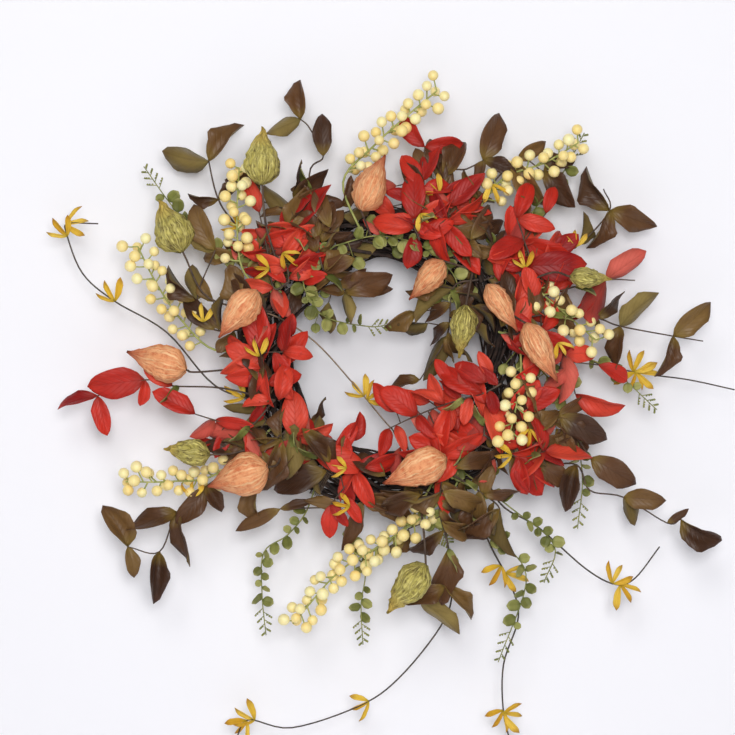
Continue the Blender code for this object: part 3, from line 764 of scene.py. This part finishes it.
def husk_group():
    """Masks of a papery husk from its UV map: streaks that run lengthwise, and a net of fine veins."""
    nodes, enter, leave, across, up = new_group("Husk veins", {"Streak count": 52, "Net count": 16},
                                                ("Streaks", "Net", "Along"))

    def stretched(count, share):
        both = nodes.add("CombineXYZ")
        nodes.join(nodes.times(across, count), both.inputs[0])
        nodes.join(nodes.times(nodes.times(up, count), share), both.inputs[1])
        return both.outputs[0]

    streaks = nodes.add("TexNoise", {"Scale": 1, "Detail": 3})
    nodes.join(stretched(enter[0], 0.10), streaks.inputs["Vector"])
    net = nodes.add("TexVoronoi", {"Scale": 1}, feature="DISTANCE_TO_EDGE")
    nodes.join(stretched(enter[1], 0.5), net.inputs["Vector"])
    nodes.join(streaks.outputs["Fac"], leave[0])
    nodes.join(nodes.on_line(net.outputs["Distance"], 0.16), leave[1])
    nodes.join(up, leave[2])
    return nodes.tree


def pod_material(name, net_share, relief, *shades):
    """Papery husk, from its dark, middle and light tints and its colour at the tip: streaked along its length, netted
    with fine veins, and with painted shade in its creases: darker where its crinkled bump is low."""
    dark, mid, light, tip_colour = (rgb(*shade) for shade in shades)
    material, nodes, shader = new_material(name, 0.62)
    marks = nodes.add("Group", node_tree=HUSK)
    crease_shade_and_relief = nodes.noise(150, 6, 0.68)
    # Painted shade: where the crease noise is low, which is also where the bump sinks, the husk is darkened towards
    # its dark tint.
    body = nodes.mix(nodes.spread(crease_shade_and_relief, 0.34, 0.54), dark, mid)
    body = nodes.mix(nodes.spread(marks.outputs["Streaks"], 0.48, 0.66), body, light)
    body = nodes.mix(nodes.times(marks.outputs["Net"], net_share), body, dark)
    body = nodes.mix(nodes.spread(marks.outputs["Along"], 0.80, 1.0), body, tip_colour)
    nodes.join(body, shader.inputs["Base Color"])
    height = nodes.plus(nodes.times(marks.outputs["Streaks"], 0.4),
                        nodes.plus(crease_shade_and_relief, nodes.times(marks.outputs["Net"], 0.3)))
    add_bump(nodes, shader, height, relief, 0.9)
    return material


def stem_material(name, dark, light, roughness=0.7):
    material, nodes, shader = new_material(name, roughness)
    grain = nodes.spread(nodes.noise(160, 3), 0.35, 0.65)
    nodes.join(nodes.mix(grain, rgb(*dark), rgb(*light)), shader.inputs["Base Color"])
    add_bump(nodes, shader, nodes.noise(500, 3), 0.0004)
    return material


VEINS = vein_group()
HUSK = husk_group()
RED = leaf_material("red_leaf", 0.46, 0.05, (148, 20, 18), (206, 46, 28), (226, 82, 58), (150, 34, 18),
                    (212, 52, 32))
BROWN = leaf_material("brown_leaf", 0.42, 0.03, (66, 42, 28), (102, 68, 40), (128, 98, 52), (130, 106, 48),
                      (84, 50, 32))
GREEN = leaf_material("green_leaf", 0.45, 0.03, (98, 102, 42), (134, 138, 68), (170, 168, 96), (84, 92, 38),
                      (190, 186, 122))
BERRY_STEM = stem_material("berry_stem", (140, 150, 78), (180, 180, 106))
YELLOW = leaf_material("yellow_blossom", 0.55, 0.05, (214, 160, 30), (232, 188, 52), (244, 208, 84), (196, 168, 40),
                       (150, 74, 32))
CREAM = berry_material()
# The first tint of each husk colours its veins and is also the painted shade in its creases.
GOLD = pod_material("gold_pod", 0.36, 0.0040, (92, 74, 28), (196, 182, 90), (240, 226, 136), (228, 190, 84))
PEACH = pod_material("peach_pod", 0.12, 0.0022, (212, 112, 64), (242, 164, 110), (254, 204, 150), (198, 88, 50))
RED_UNDER = leaf_material("red_leaf_under", 0.7, 0.1, (160, 52, 44), (206, 84, 70), (226, 118, 100), (150, 60, 40),
                          (200, 70, 56))
BROWN_UNDER = leaf_material("brown_leaf_under", 0.7, 0.1, (96, 78, 36), (120, 100, 50), (142, 122, 66),
                            (120, 104, 52), (90, 66, 38))
GREEN_UNDER = leaf_material("green_leaf_under", 0.7, 0.05, (122, 128, 70), (150, 154, 92), (176, 178, 118),
                            (118, 124, 66), (160, 156, 98))
BROWN_STEM = stem_material("brown_stem", (60, 46, 40), (96, 76, 60))
GREEN_STEM = stem_material("green_stem", (104, 112, 54), (152, 150, 80))
WIRE_VINE = stem_material("wire_vine", (52, 44, 40), (84, 72, 62))
TAUPE = stem_material("taupe_vine", (108, 84, 66), (152, 128, 104))
BARK = stem_material("vine_bark", (26, 18, 16), (64, 46, 38), 0.85)
WIRE = stem_material("binding_wire", (60, 46, 34), (98, 78, 58), 0.5)


def bowed(rise, droop=0.0):
    return lambda y: rise * math.sin(y * math.pi) - droop * y * y


def waved(rise, waves):
    return lambda y: rise * math.sin(y * waves * math.pi)


RED_LEAVES = [
    make_leaf("red_leaf_flat", pointed(0.46), 0.10, bowed(0.10), 0.02, 14, 1),
    make_leaf("red_leaf_bowed", pointed(0.54), 0.16, bowed(0.08, 0.16), 0.03, -24, 2),
    make_leaf("red_leaf_lifted", pointed(0.42), 0.14, bowed(0.04, -0.10), 0.03, 26, 3),
    make_leaf("red_leaf_folded", pointed(0.48), 0.26, bowed(0.12, 0.10), 0.03, -12, 9),
]
BROWN_LEAVES = [
    make_leaf("brown_leaf_flat", pointed(0.45), 0.16, bowed(0.12, 0.08), 0.05, -22, 4),
    make_leaf("brown_leaf_rolled", pointed(0.48), 0.46, bowed(0.10, 0.26), 0.07, 34, 5),
    make_leaf("brown_leaf_wavy", pointed(0.40), 0.20, waved(0.10, 2), 0.09, -46, 6),
]
TENDRIL = make_leaf("tendril", pointed(0.5, 0.2), 0.30, waved(0.10, 3), 0.03, 80, 10, 2, 12)
ROUND_LEAF = make_leaf("round_leaf", rounded, 0.12, bowed(0, -0.16), 0.02, 10, 7, rows=6)
PETAL = make_leaf("petal", pointed(0.70, 0.16), 0.22, bowed(0, 0.34), 0.04, 20, 8, rows=8)
PEACH_PODS = [make_pod("peach_pod_full", 11, 0.012), make_pod("peach_pod_bent", 13, 0.016)]
GOLD_PODS = [make_pod("gold_pod_creased", 12, 0.028), make_pod("gold_pod_full", 14, 0.022)]
BERRY = make_berry()
BEAD = make_bead()
MASTERS = [*RED_LEAVES, *BROWN_LEAVES, TENDRIL, ROUND_LEAF, PETAL, *PEACH_PODS, *GOLD_PODS, BERRY, BEAD]


# Picks


def stem_line(points):
    return smooth_line([on_dome(laid_out(*point[:2])) for point in points])


def root_of(plan):
    return on_dome(laid_out(*plan[0][0][:2]))


def sunk(root, lift):
    """How far the stem's root goes back to lie on the ring's front."""
    return Vector((0, max(-BUNDLE_RADIUS - (root + lift).y, 0), 0))


def set_back(line, lift):
    """The line with its root on the ring's front, so that the bare stretch runs behind the leaves."""
    last = len(line) - 1
    return [p + lift + sunk(line[0], lift) * (1 - k / last) ** 1.2 for k, p in enumerate(line)]


def into_ring(start):
    """A line from start that bends back to the middle of the bundle."""
    out = Vector((start.x, 0, start.z)) - RING_CENTRE
    end = RING_CENTRE + out.normalized() * RING_RADIUS
    return smooth_line([start, start.lerp(end, 0.4) + Vector((0, (end.y - start.y) * 0.25, 0)), end], 4)


def tail(name, plan, lift, diameter, material):
    """The stem's root, from where the pick lies back into the ring. A mover's stays on its hinge's axis."""
    start = root_of(plan) + lift
    line = [start, Vector((start.x, 0, start.z))] if name in bodies else into_ring(start)
    return stem_along(line, diameter, 1, material)


def sunk_tail(name, plan, lift, diameter, material):
    return tail(name, plan, lift + sunk(root_of(plan), lift), diameter, material)


def swept_places(looks):
    """A search tree of points all over the movers, through the whole of each one's swing."""
    places = []
    for name, plan in {**BLOSSOM_VINES, **HANGING_GREEN_PICKS}.items():
        pivot = root_of(plan) + lift_of(name, plan)
        for angle in range(-SWING, SWING + 1, SWING // 2):
            turn = Matrix.Rotation(math.radians(angle), 3, "Y")
            places += [pivot + turn @ (vert.co - pivot) for vert in looks[name].data.vertices]
    return search_tree(places)


def search_tree(places):
    tree = KDTree(len(places))
    for number, place in enumerate(places):
        tree.insert(place, number)
    tree.balance()
    return tree


def clear_of_movers(base, ahead, room=SWEEP_ROOM):
    """Whether all of a leaf, given by its midrib, keeps this far from every mover's sweep."""
    side = ahead.cross(BACK) * LEAF_HALF_BREADTH
    return all(swept.find(base + ahead * k / 4 + side * share * way)[2] > room
               for k, share in enumerate(LEAF_SHAPE) for way in (-1, 0, 1))


def tucked(base, ahead):
    """How far back a leaf goes to clear the berries and pods, or None if no step clears them."""
    for step in range(4):
        back = Vector((0, step * TUCK, 0))
        if all(firm.find(base + back + ahead * k / 4)[2] > FRUIT_ROOM for k in range(5)):
            return back
    return None


def fill_places(line, spacing, shades):
    """(root, foot, heading) of the small leaves that fill a stem over the ring: on it, and on short side stalks."""
    places = []
    count = int(length_of(line) / spacing)
    for k in range(2 * count):
        root, ahead = along(line, (k + 0.5) / count / 2)
        across = Vector((root.x, 0, root.z)) - RING_CENTRE
        if abs(across.length - RING_RADIUS) > BAND_HALF_WIDTH:
            continue
        side = 1 if k // 2 % 2 else -1
        heading = heading_of(ahead) + side * shades.uniform(30, 95)
        reach = shades.uniform(*SIDE_STALK) if k % 2 else 0
        foot = root + towards(heading + side * 20) * reach
        foot.y = min(on_dome(foot).y + shades.uniform(0, 0.7) * reach, -0.012) if reach else root.y
        places.append((root, foot, heading))
    return places


def owners_of_covers():
    """Each covering leaf goes to the nearest pick of its kind: pick -> [leaf]."""
    owners = {}
    for kind, picks in (("red", RED_PICKS), ("brown", BROWN_PICKS)):
        for leaf in COVER_LEAVES[kind]:
            x, z = leaf[:2]
            reach = [((px - x) ** 2 + (pz - z) ** 2, name)
                     for name, branches in picks.items() for points in branches for px, pz, *_ in points]
            owners.setdefault(min(reach)[1], []).append(leaf)
    return owners


def blossom(foot, heading, longest, shades):
    """Three petals that open from one foot."""
    petals = []
    for spread, roll in ((-46, -26), (3, 15), (44, 26)):
        reach = towards(heading + spread) + Vector((0, -0.25 if spread != 3 else 0.05, 0))
        size = longest * shades.uniform(0.72, 1.0)
        matrix = frame_at(foot, reach, facing_of(heading + spread, roll), size * 0.27, size, size * 0.6)
        petals.append(copy_of(PETAL, matrix, YELLOW, shades.uniform(0, 1)))
    return petals


LEAF_KINDS = {"red": (RED_LEAVES, RED, RED_UNDER), "brown": (BROWN_LEAVES, BROWN, BROWN_UNDER)}


def foliage_pick(name, branches, lift):
    kind = name.split("_")[0]
    masters, material, under = LEAF_KINDS[kind]
    dice = random.Random(name)
    shades = random.Random(name + " shades")
    leaves, stems, tendrils, petals = [], [], [], []

    def add_leaf(base, heading, reach, roll, pitch, drawn=True):
        """Adds a leaf and says so, unless it isn't one of the drawn ones and a mover would meet it."""
        tip = on_dome(base + towards(heading) * reach) + Vector((0, -reach * pitch, 0))
        ahead = tip - base
        width = reach * LEAF_WIDTH_SHARE[kind] * shades.uniform(0.80, 1.12)
        depth = reach * 0.8
        if not clear_of_movers(base + lift, ahead, NEAR_MOVER if drawn else SWEEP_ROOM):
            if not drawn:
                return False
            roll, width, depth = roll * 0.3, width * 0.7, depth * 0.2
        if shades.random() < TURNED_OVER:
            roll += 180
        matrix = frame_at(base + lift, ahead, facing_of(heading, roll), width, ahead.length, depth)
        leaves.append(copy_of(shades.choice(masters), matrix, material, shades.uniform(0, 1)))
        return True

    for points in branches:
        for point in points:
            base = on_dome(laid_out(*point[:2]))
            for heading, length in point[2:]:
                roll = dice.uniform(-LEAF_ROLL, LEAF_ROLL) * 1.6
                add_leaf(base, heading, length * MM, roll, shades.uniform(-0.1, 0.2))
        lengths = [length for point in points for _, length in point[2:]]
        for root, foot, heading in fill_places(stem_line(points), BETWEEN_SPACING, shades) if lengths else ():
            reach = sum(lengths) / len(lengths) * MM * shades.uniform(0.62, 1.0)
            back = tucked(foot + lift, towards(heading) * reach)
            if back is None or not clear_of_movers(root + lift, foot - root):
                continue
            foot = foot + back
            placed = add_leaf(foot, heading, reach, shades.uniform(-48, 48), shades.uniform(-0.25, 0.15), False)
            if placed and foot != root:
                stems.append(stem_along([root + lift, foot + lift], LEAF_STALK_SIZE, 0.8, BROWN_STEM, 1))
        stems.append(stem_along([p + lift for p in stem_line(points)], LEAF_STEM_SIZE, 0.6, BROWN_STEM))
        foot, ahead = along(stem_line(points), shades.uniform(0.2, 0.6))
        outward = ahead + Vector((shades.uniform(-1, 1), -0.8, shades.uniform(-1, 1)))
        if clear_of_movers(foot + lift, outward.normalized() * TENDRIL_LENGTH):
            sprig = frame_at(foot + lift, outward, FRONT, 0.009, TENDRIL_LENGTH, 0.02)
            if shades.random() < 0.6:
                tendrils.append(copy_of(TENDRIL, sprig, GREEN, shades.uniform(0, 1)))
            else:
                petals += blossom(foot + lift - STRAY_RAISE, shades.uniform(0, 360), BLOSSOM_LENGTH * 0.8, shades)
    for x, z, heading, length in covers.get(name, ()):
        foot = on_dome(laid_out(x, z)) - COVER_RAISE
        back = tucked(foot + lift, towards(heading) * length * MM)
        if back is None:
            continue
        foot = foot + back
        if add_leaf(foot, heading, length * MM, shades.uniform(-14, 14), shades.uniform(-0.05, 0.1), False):
            stems.append(stem_along(into_ring(foot + lift), LEAF_STALK_SIZE, 1, BROWN_STEM, 1))
    groups = (("", leaves, under), ("_tendrils", tendrils, GREEN_UNDER), ("_petals", petals, YELLOW))
    blades = [walled(name + suffix, group, underside) for suffix, group, underside in groups if group]
    return [*blades, *stems, tail(name, branches, lift, LEAF_STEM_SIZE, BROWN_STEM)]


def berry_pick(name, branches, lift):
    shades = random.Random(name)
    pieces, placed = [], []
    for points in branches:
        line = set_back(stem_line(points), lift)
        count = round(length_of(line) * BERRY_STRETCH / BERRY_SPACING)
        for k in range(count):
            size = BERRY_DIAMETER * shades.uniform(0.80, 1.0)
            foot, ahead = along(line, 1 - BERRY_STRETCH * k / count)
            side = ahead.cross(BACK).normalized()
            for attempt in range(BERRY_TRIES):
                turn = math.radians(BERRY_TURN * k + 47 * attempt)
                out = (side * math.cos(turn) - BACK * math.sin(turn) * 0.75 + ahead * 0.5).normalized()
                place = foot + out * BERRY_STALK * shades.uniform(0.65, 1.5)
                apart = all((place - other).length > (size + girth) * 0.47 for other, girth in placed)
                if apart and swept.find(place)[2] > BERRY_ROOM:
                    break
            else:
                continue
            placed.append((place, size))
            bend = foot.lerp(place, 0.5) - Vector((0, 0, 0.0008))
            pieces.append(stem_along([foot, bend, place], BERRY_STALK_SIZE, 1, BERRY_STEM))
            matrix = frame_at(place, out, Vector((0.1, -1, 0.2)), size, size, size)
            pieces.append(copy_of(BERRY, matrix, CREAM, shades.uniform(0, 1)))
        pieces.append(stem_along(line, BERRY_STEM_SIZE, 0.6, BERRY_STEM))
    return [*pieces, sunk_tail(name, branches, lift, BERRY_ROOT_SIZE, BERRY_STEM)]


def pod_pick(name, branches, lift):
    shades = random.Random(name)
    pieces = []
    for number, points in enumerate(branches):
        stem = [on_dome(laid_out(*point[:2])) for point in points[:-1]]
        base, tip = stem[-1], on_dome(laid_out(*points[-1]))
        ahead = tip - base
        width = ahead.length * POD_WIDTH_SHARE * POD_WIDTH_CHANGES.get(name, 1)
        peach = name.startswith("peach") or name.startswith("pod") and number == 1
        turned = frame_at(base + lift, ahead, FRONT, width, ahead.length, width)
        matrix = turned @ Matrix.Rotation(-math.pi / 2, 4, "X") @ Matrix.Rotation(shades.uniform(0, 6), 4, "Z")
        husks, paper = (PEACH_PODS, PEACH) if peach else (GOLD_PODS, GOLD)
        pieces.append(copy_of(shades.choice(husks), matrix, paper, 0.5))
        pieces.append(stem_along(set_back(smooth_line(stem), lift), POD_STEM_SIZE, 0.9, BROWN_STEM))
    return [*pieces, sunk_tail(name, branches, lift, POD_STEM_SIZE, BROWN_STEM)]


def fern_tip(line, pieces):
    """Beaded side shoots on the last stretch of a stem."""
    for k in range(7):
        foot, ahead = along(line, 0.86 + 0.14 * k / 7)
        side = ahead.cross(BACK).normalized() * (1 if k % 2 else -1)
        end = foot + (side + ahead * 0.7).normalized() * (0.010 - 0.0009 * k)
        pieces.append(stem_along([foot, end], SHOOT_SIZE, 0.8, GREEN_STEM, 1))
        for share in (0.45, 0.75, 1.0):
            place = foot.lerp(end, share) + ahead * SHOOT_SIZE
            pieces.append(copy_of(BEAD, Matrix.Translation(place) @ Matrix.Scale(BEAD_SIZE, 4), GREEN_STEM, 0.5))


def green_pick(name, branches, lift):
    shades = random.Random(name)
    leaves, stems = [], []

    def add_leaf(foot, heading, size, tilt, lean):
        facing = facing_of(heading, shades.uniform(-tilt, tilt)) + Vector((0, 0, shades.uniform(-lean, lean)))
        matrix = frame_at(foot, towards(heading), facing, size * 0.9, size, size)
        leaves.append(copy_of(ROUND_LEAF, matrix, GREEN, shades.uniform(0, 1)))

    for points in branches:
        line = [p + lift for p in stem_line(points)]
        count = int(length_of(line) * 0.62 / GREEN_LEAF_SPACING)
        for k in range(2 * count):
            foot, ahead = along(line, 0.25 + 0.3 * k / count)
            side = 62 if k % 2 else -62
            if shades.random() < 0.18:
                continue
            heading = heading_of(ahead) + side * shades.uniform(0.6, 1.4)
            add_leaf(foot, heading, GREEN_LEAF_LENGTH * shades.uniform(0.6, 1.20), 62, 0.5)
        for root, foot, heading in fill_places(line, GREEN_LEAF_SPACING * 1.3, shades) if name not in bodies else ():
            size = GREEN_LEAF_LENGTH * shades.uniform(0.8, 1.25)
            foot = root.lerp(foot, 0.7)
            if not clear_of_movers(foot, towards(heading) * size):
                continue
            add_leaf(foot, heading, size, 40, 0.3)
            if foot != root:
                stems.append(stem_along([root, foot], GREEN_STALK_SIZE, 0.8, GREEN_STEM, 1))
        stems.append(stem_along(line, GREEN_STEM_SIZE, 0.6, GREEN_STEM))
        fern_tip(line, stems)
    return [walled(name, leaves, GREEN_UNDER), *stems, tail(name, branches, lift, GREEN_STEM_SIZE, GREEN_STEM)]


def vine_pick(name, vine, lift):
    points, blossoms = vine
    shades = random.Random(name)
    line = [p + lift for p in stem_line(points)]
    petals = []
    for share, heading in blossoms:
        foot, _ = along(line, share)
        petals += blossom(foot, heading, BLOSSOM_LENGTH, shades)
    material = TAUPE if name == "vine_inner" else WIRE_VINE
    stems = [stem_along(line, VINE_SIZE, 0.8, material), tail(name, vine, lift, VINE_SIZE, material)]
    if name not in bodies:
        stems.append(stem_along(into_ring(line[-1]), VINE_END_SIZE, 1, material))
    return [walled(name, petals, YELLOW), *stems]


bodies = set(frame["bodies"])
firm = search_tree([vert.co.copy() for name in (*BERRY_PICKS, *POD_PICKS)
                    for vert in frame["nodes"][name].data.vertices])
covers = owners_of_covers()
MOVERS = ((HANGING_GREEN_PICKS, green_pick, "green_leaf"), (BLOSSOM_VINES, vine_pick, "yellow_blossom"))
FIXED = (
    (RED_PICKS, foliage_pick, "red_leaf"),
    (BROWN_PICKS, foliage_pick, "brown_leaf"),
    (BERRY_PICKS, berry_pick, "cream_berry"),
    (POD_PICKS, pod_pick, None),
    (GREEN_PICKS, green_pick, "green_leaf"),
    (INNER_VINES, vine_pick, "yellow_blossom"),
)


def hand_over(node, pieces, body, slot):
    """One finished piece that takes the place of a node of the part and rides on this body."""
    look = joined(node + "_look", pieces)
    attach(look, body)
    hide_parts(node)
    return look


def add_picks(rows):
    looks = {}
    for picks, make, slot in rows:
        for name, plan in picks.items():
            pieces = make(name, plan, lift_of(name, plan))
            slot_here = slot or ("peach_pod" if name.startswith("peach") else "gold_pod")
            looks[name] = hand_over(name, pieces, name if name in bodies else "wreath", slot_here)
    return looks


swept = swept_places(add_picks(MOVERS))
add_picks(FIXED)


# The ring


def twig_line(dice):
    """A twig that winds round the bundle's middle at its own depth."""
    depth = BUNDLE_RADIUS * (0.30 + 0.62 * math.sqrt(dice.random()))
    start = dice.uniform(0, math.tau)
    span = dice.uniform(0.7, 1.3) * math.pi
    phase = dice.uniform(0, math.tau)
    wobble = dice.uniform(0.0012, 0.0030)
    line = []
    for i in range(TWIG_STEPS + 1):
        turn = start + span * i / TWIG_STEPS
        wind = 2 * turn + phase
        out = towards(math.degrees(turn))
        reach = depth + wobble * math.sin(turn * 7 + phase)
        side = Vector((0, reach * math.sin(wind), 0))
        line.append(RING_CENTRE + out * (RING_RADIUS + reach * math.cos(wind)) + side)
    return line


def binding_line(angle):
    """Turns of wire round the bundle, at this angle of the ring."""
    out, along_ring = towards(angle), towards(angle + 90)
    middle = RING_CENTRE + out * RING_RADIUS
    line = []
    for i in range(BINDING_TURNS * BINDING_STEPS + 1):
        turn = math.tau * i / BINDING_STEPS
        shift = (i / (BINDING_TURNS * BINDING_STEPS) - 0.5) * BINDING_WIDTH
        side = Vector((0, BINDING_REACH * math.sin(turn), 0))
        line.append(middle + out * BINDING_REACH * math.cos(turn) + side + along_ring * shift)
    return line


dice = random.Random("vine ring")
for strand in range(STRANDS):
    twigs = [stem_along(twig_line(dice), dice.uniform(*TWIG_SIZES), 0.6, BARK) for _ in range(TWIG_COUNT // STRANDS)]
    hand_over(f"ring_strand_{strand + 1}", twigs, "wreath", "vine_bark")
for number, angle in enumerate(BINDING_ANGLES, 1):
    binding = stem_along(binding_line(angle), BINDING_WIRE_SIZE, 1, WIRE)
    hand_over(f"ring_binding_{number}", [binding], "wreath", "binding_wire")

for master in MASTERS:
    bpy.data.objects.remove(master)


# Wall, floor, light and camera


def one_sided(name, colour):
    """A plain finish that doesn't show from behind."""
    material, nodes, shader = new_material(name, 0.9)
    set_sockets(shader, {"Base Color": colour})
    clear = nodes.add("BsdfTransparent")
    mix = nodes.add("MixShader")
    nodes.join(nodes.add("NewGeometry").outputs["Backfacing"], mix.inputs[0])
    nodes.join(shader.outputs[0], mix.inputs[1])
    nodes.join(clear.outputs[0], mix.inputs[2])
    nodes.join(mix.outputs[0], material.node_tree.nodes["Material Output"].inputs["Surface"])
    return material


def add_stage(name, place, turn, colour):
    deselect()
    bpy.ops.mesh.primitive_plane_add(size=6, location=place, rotation=turn)
    plane = bpy.context.object
    plane.name = name
    plane.data.materials.append(one_sided(name, colour))


WALL_Y = 0.040  # just behind the bindings
add_stage("wall", (0, WALL_Y, 0), (math.radians(90), 0, 0), rgb(250, 249, 253))
add_stage("floor", (0, -2.9, -1.1), (0, 0, 0), rgb(236, 236, 240))


def add_light(name, place, size, power):
    light = bpy.data.lights.new(name, "AREA")
    light.size = size
    light.energy = power
    obj = bpy.data.objects.new(name, light)
    obj.location = place
    obj.rotation_euler = (RING_CENTRE - Vector(place)).to_track_quat("-Z", "Y").to_euler()
    bpy.context.collection.objects.link(obj)


add_light("key", (-0.5, -2.4, 1.3), 1.2, 19)
add_light("fill", (0.12, -2.9, 0.25), 0.9, 45)

world = bpy.data.worlds.new("studio")
world.use_nodes = True
set_sockets(world.node_tree.nodes["Background"], {"Color": (0.95, 0.97, 1.0, 1), "Strength": 0.18})
bpy.context.scene.world = world
bpy.context.scene.view_settings.view_transform = "Standard"

VIEW_WIDTH = 0.735
VIEW_DISTANCE = 2.5
camera = bpy.data.objects.new("camera", bpy.data.cameras.new("camera"))
camera.data.lens = camera.data.sensor_width * VIEW_DISTANCE / VIEW_WIDTH
camera.location = RING_CENTRE + Vector((-0.0195, -VIEW_DISTANCE - BUNDLE_RADIUS, -0.0095))
camera.rotation_euler = (math.radians(90), 0, 0)
bpy.context.collection.objects.link(camera)
bpy.context.scene.camera = camera
